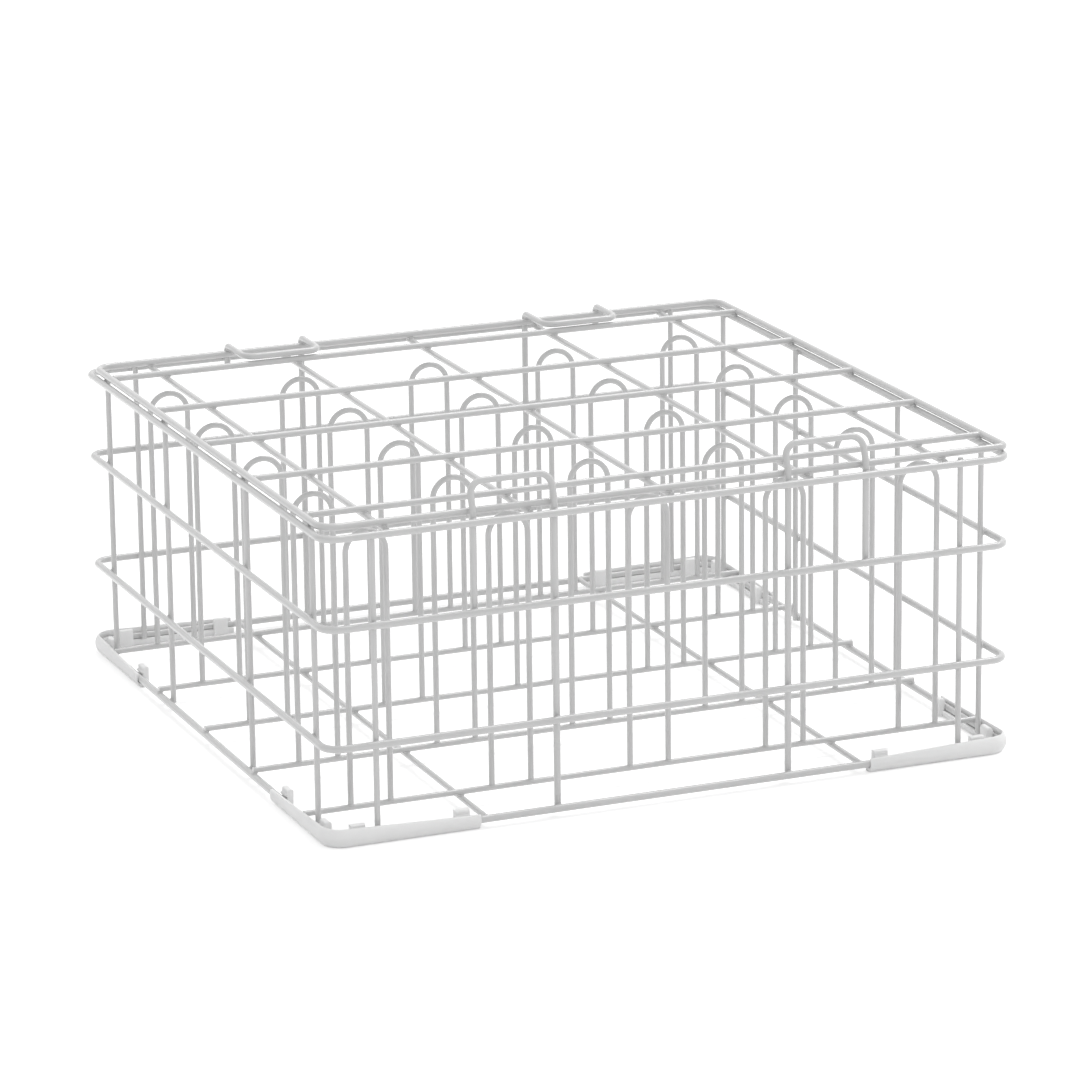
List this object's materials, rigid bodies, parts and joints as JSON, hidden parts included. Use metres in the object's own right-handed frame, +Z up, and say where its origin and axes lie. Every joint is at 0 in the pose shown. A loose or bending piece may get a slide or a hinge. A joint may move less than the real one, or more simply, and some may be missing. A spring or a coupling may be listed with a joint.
{
  "type": "cup rack",
  "caption": "Square open wire basket for a dishwasher, with rows of hairpin dividers under a top grid, wire loop handles and moulded corner feet.",
  "frame": {"origin": "middle of the footprint, on the plane the feet stand on", "axes": "+X along the front to the right, +Y from front to back, +Z up"},
  "size_m": [0.5, 0.5, 0.235],
  "materials": {
    "coated_wire": "satin white plastic coating",
    "foot_plastic": "satin white"
  },
  "bodies": {
    "root": {"rim": "coated_wire", "lower_ring": "coated_wire", "middle_ring": "coated_wire", "top_ring": "coated_wire", "top_frame": "coated_wire", "floor_wire_1": "coated_wire", "floor_wire_2": "coated_wire", "floor_wire_3": "coated_wire", "floor_wire_4": "coated_wire", "floor_wire_5": "coated_wire", "floor_cross_wire_left": "coated_wire", "floor_cross_wire_right": "coated_wire", "grid_wire_1": "coated_wire", "grid_wire_2": "coated_wire", "grid_wire_3": "coated_wire", "grid_wire_4": "coated_wire", "grid_wire_5": "coated_wire", "grid_cross_wire_1": "coated_wire", "grid_cross_wire_2": "coated_wire", "grid_cross_wire_3": "coated_wire", "grid_cross_wire_4": "coated_wire", "grid_cross_wire_5": "coated_wire", "hairpin_row_1": "coated_wire", "hairpin_row_2": "coated_wire", "hairpin_row_3": "coated_wire", "hairpin_row_4": "coated_wire", "hairpin_row_5": "coated_wire", "left_upright_1": "coated_wire", "left_upright_2": "coated_wire", "left_upright_3": "coated_wire", "left_upright_4": "coated_wire", "right_upright_1": "coated_wire", "right_upright_2": "coated_wire", "right_upright_3": "coated_wire", "right_upright_4": "coated_wire", "front_upright_left": "coated_wire", "front_upright_right": "coated_wire", "back_upright_left": "coated_wire", "back_upright_right": "coated_wire", "front_handle_left": "coated_wire", "front_handle_right": "coated_wire", "back_handle_left": "coated_wire", "back_handle_right": "coated_wire", "foot_front_left": "foot_plastic", "foot_front_right": "foot_plastic", "foot_back_left": "foot_plastic", "foot_back_right": "foot_plastic"}
  },
  "joints": []
}
